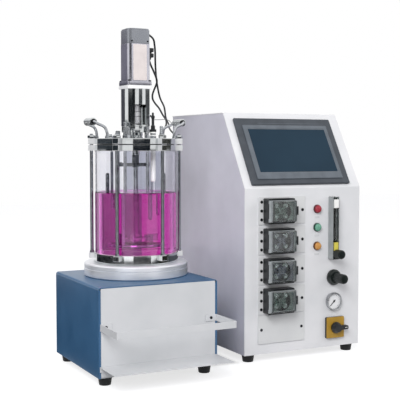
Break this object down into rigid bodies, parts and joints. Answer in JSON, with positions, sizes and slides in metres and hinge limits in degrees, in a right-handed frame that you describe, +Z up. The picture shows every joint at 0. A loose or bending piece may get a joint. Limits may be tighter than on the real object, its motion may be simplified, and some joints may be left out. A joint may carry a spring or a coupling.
{
  "type": "bench bioreactor",
  "caption": "Bench bioreactor: stirred glass vessel with a lid-mounted motor on a heating base, beside a cabinet with touchscreen, tube pumps, lamps, flow meter, regulator and gauge.",
  "frame": {"origin": "on the bench surface, under the middle of both units' common box", "axes": "+Z up, -Y towards the user, +X from the vessel unit towards the control cabinet"},
  "size_m": [0.713, 0.5833, 0.7862],
  "materials": {
    "blue_paint": "smooth satin powder coat",
    "white_paint": "smooth satin powder coat",
    "grey_paint": "fine textured powder coat",
    "black_rubber": "matt moulded rubber",
    "polished_steel": "mirror polished stainless steel",
    "satin_aluminium": "satin turned aluminium",
    "glass": "clear borosilicate glass",
    "clear_plastic": "clear moulded acrylic",
    "culture": "pink-red culture medium",
    "silicone": "white silicone",
    "white_plastic": "moulded white plastic",
    "grey_plastic": "moulded grey plastic",
    "black_plastic": "moulded black plastic",
    "screen_glass": "dark display glass",
    "motor_paint": "silver grey enamel",
    "yellow_plastic": "glossy yellow plastic",
    "red_lens": "translucent red lens",
    "green_lens": "translucent green lens",
    "amber_lens": "translucent amber lens",
    "cable_sheath": "satin black cable sheath",
    "thin_sheath": "grey wire sheath"
  },
  "bodies": {
    "frame": {"base_cover": "blue_paint", "base_front_panel": "white_paint", "base_rear_panel": "white_paint", "shelf_plate": "white_paint", "bottle_rail": "white_paint", "cabinet_front": "white_paint", "blank_plate": "white_paint", "cabinet_wrap": "grey_paint", "base_floor": "black_rubber", "cabinet_floor": "black_rubber", "vessel_base_plate": "polished_steel", "clamp_ring": "polished_steel", "lid": "polished_steel", "handle_left": "polished_steel", "handle_right": "polished_steel", "handle_grip_left": "polished_steel", "handle_grip_right": "polished_steel", "drive_housing": "polished_steel", "drive_tube": "polished_steel", "sparger": "polished_steel", "support_ring": "satin_aluminium", "adapter_plate": "satin_aluminium", "glass_jar": "glass", "flow_meter": "clear_plastic", "culture_liquid": "culture", "lower_gasket": "silicone", "upper_gasket": "silicone", "ph_probe": "white_plastic", "screen_bezel": "grey_plastic", "gauge_body": "grey_plastic", "pump_body_1": "black_plastic", "pump_body_2": "black_plastic", "pump_body_3": "black_plastic", "pump_body_4": "black_plastic", "screen": "screen_glass", "motor_body": "motor_paint", "motor_cap": "motor_paint", "switch_plate": "yellow_plastic", "lamp_red": "red_lens", "lamp_green": "green_lens", "lamp_amber": "amber_lens", "encoder_cable": "cable_sheath", "motor_cable": "cable_sheath", "sensor_cable": "thin_sheath"},
    "stirrer": {"stirrer_shaft": "polished_steel", "shaft_coupling": "satin_aluminium", "impeller": "polished_steel"},
    "rotor_1": {"pump_rotor_1": "white_plastic"},
    "cover_1": {"pump_cover_1": "clear_plastic"},
    "rotor_2": {"pump_rotor_2": "white_plastic"},
    "cover_2": {"pump_cover_2": "clear_plastic"},
    "rotor_3": {"pump_rotor_3": "white_plastic"},
    "cover_3": {"pump_cover_3": "clear_plastic"},
    "rotor_4": {"pump_rotor_4": "white_plastic"},
    "cover_4": {"pump_cover_4": "clear_plastic"},
    "float": {"flow_meter_float": "black_plastic"},
    "flow_knob": {"flow_meter_knob": "black_plastic"},
    "regulator": {"regulator_knob": "black_plastic"},
    "needle": {"gauge_needle": "black_plastic"},
    "switch": {"switch_knob": "black_plastic"}
  },
  "joints": [
    {"name": "stirrer_spin", "type": "hinge", "parent": "frame", "child": "stirrer", "pos_m": [-0.1995, -0.00935, 0.4], "axis": [0, 0, 1], "continuous": true},
    {"name": "pump_1_spin", "type": "hinge", "parent": "frame", "child": "rotor_1", "pos_m": [0.112, -0.15715, 0.3623], "axis": [0, 1, 0], "continuous": true},
    {"name": "pump_1_cover", "type": "hinge", "parent": "frame", "child": "cover_1", "pos_m": [0.0781, -0.16005, 0.3623], "axis": [0, 0, -1], "range_deg": [0, 110]},
    {"name": "pump_2_spin", "type": "hinge", "parent": "frame", "child": "rotor_2", "pos_m": [0.112, -0.15715, 0.2907], "axis": [0, 1, 0], "continuous": true},
    {"name": "pump_2_cover", "type": "hinge", "parent": "frame", "child": "cover_2", "pos_m": [0.0781, -0.16005, 0.2907], "axis": [0, 0, -1], "range_deg": [0, 110]},
    {"name": "pump_3_spin", "type": "hinge", "parent": "frame", "child": "rotor_3", "pos_m": [0.112, -0.15715, 0.2191], "axis": [0, 1, 0], "continuous": true},
    {"name": "pump_3_cover", "type": "hinge", "parent": "frame", "child": "cover_3", "pos_m": [0.0781, -0.16005, 0.2191], "axis": [0, 0, -1], "range_deg": [0, 110]},
    {"name": "pump_4_spin", "type": "hinge", "parent": "frame", "child": "rotor_4", "pos_m": [0.112, -0.15715, 0.1475], "axis": [0, 1, 0], "continuous": true},
    {"name": "pump_4_cover", "type": "hinge", "parent": "frame", "child": "cover_4", "pos_m": [0.0781, -0.16005, 0.1475], "axis": [0, 0, -1], "range_deg": [0, 110]},
    {"name": "float_rise", "type": "slide", "parent": "frame", "child": "float", "axis": [0, 0, 1], "range_m": [0, 0.085]},
    {"name": "flow_valve", "type": "hinge", "parent": "frame", "child": "flow_knob", "pos_m": [0.2715, -0.15265, 0.252], "axis": [0, 1, 0], "range_deg": [0, 720]},
    {"name": "pressure_set", "type": "hinge", "parent": "frame", "child": "regulator", "pos_m": [0.2785, -0.13035, 0.1915], "axis": [0, 1, 0], "range_deg": [-720, 720]},
    {"name": "gauge_reading", "type": "hinge", "parent": "frame", "child": "needle", "pos_m": [0.2785, -0.13535, 0.1315], "axis": [0, 1, 0], "range_deg": [0, 270], "stiffness_Nm_per_rad": 0.0002},
    {"name": "main_switch", "type": "hinge", "parent": "frame", "child": "switch", "pos_m": [0.2815, -0.13935, 0.0665], "axis": [0, -1, 0], "range_deg": [0, 90]}
  ]
}
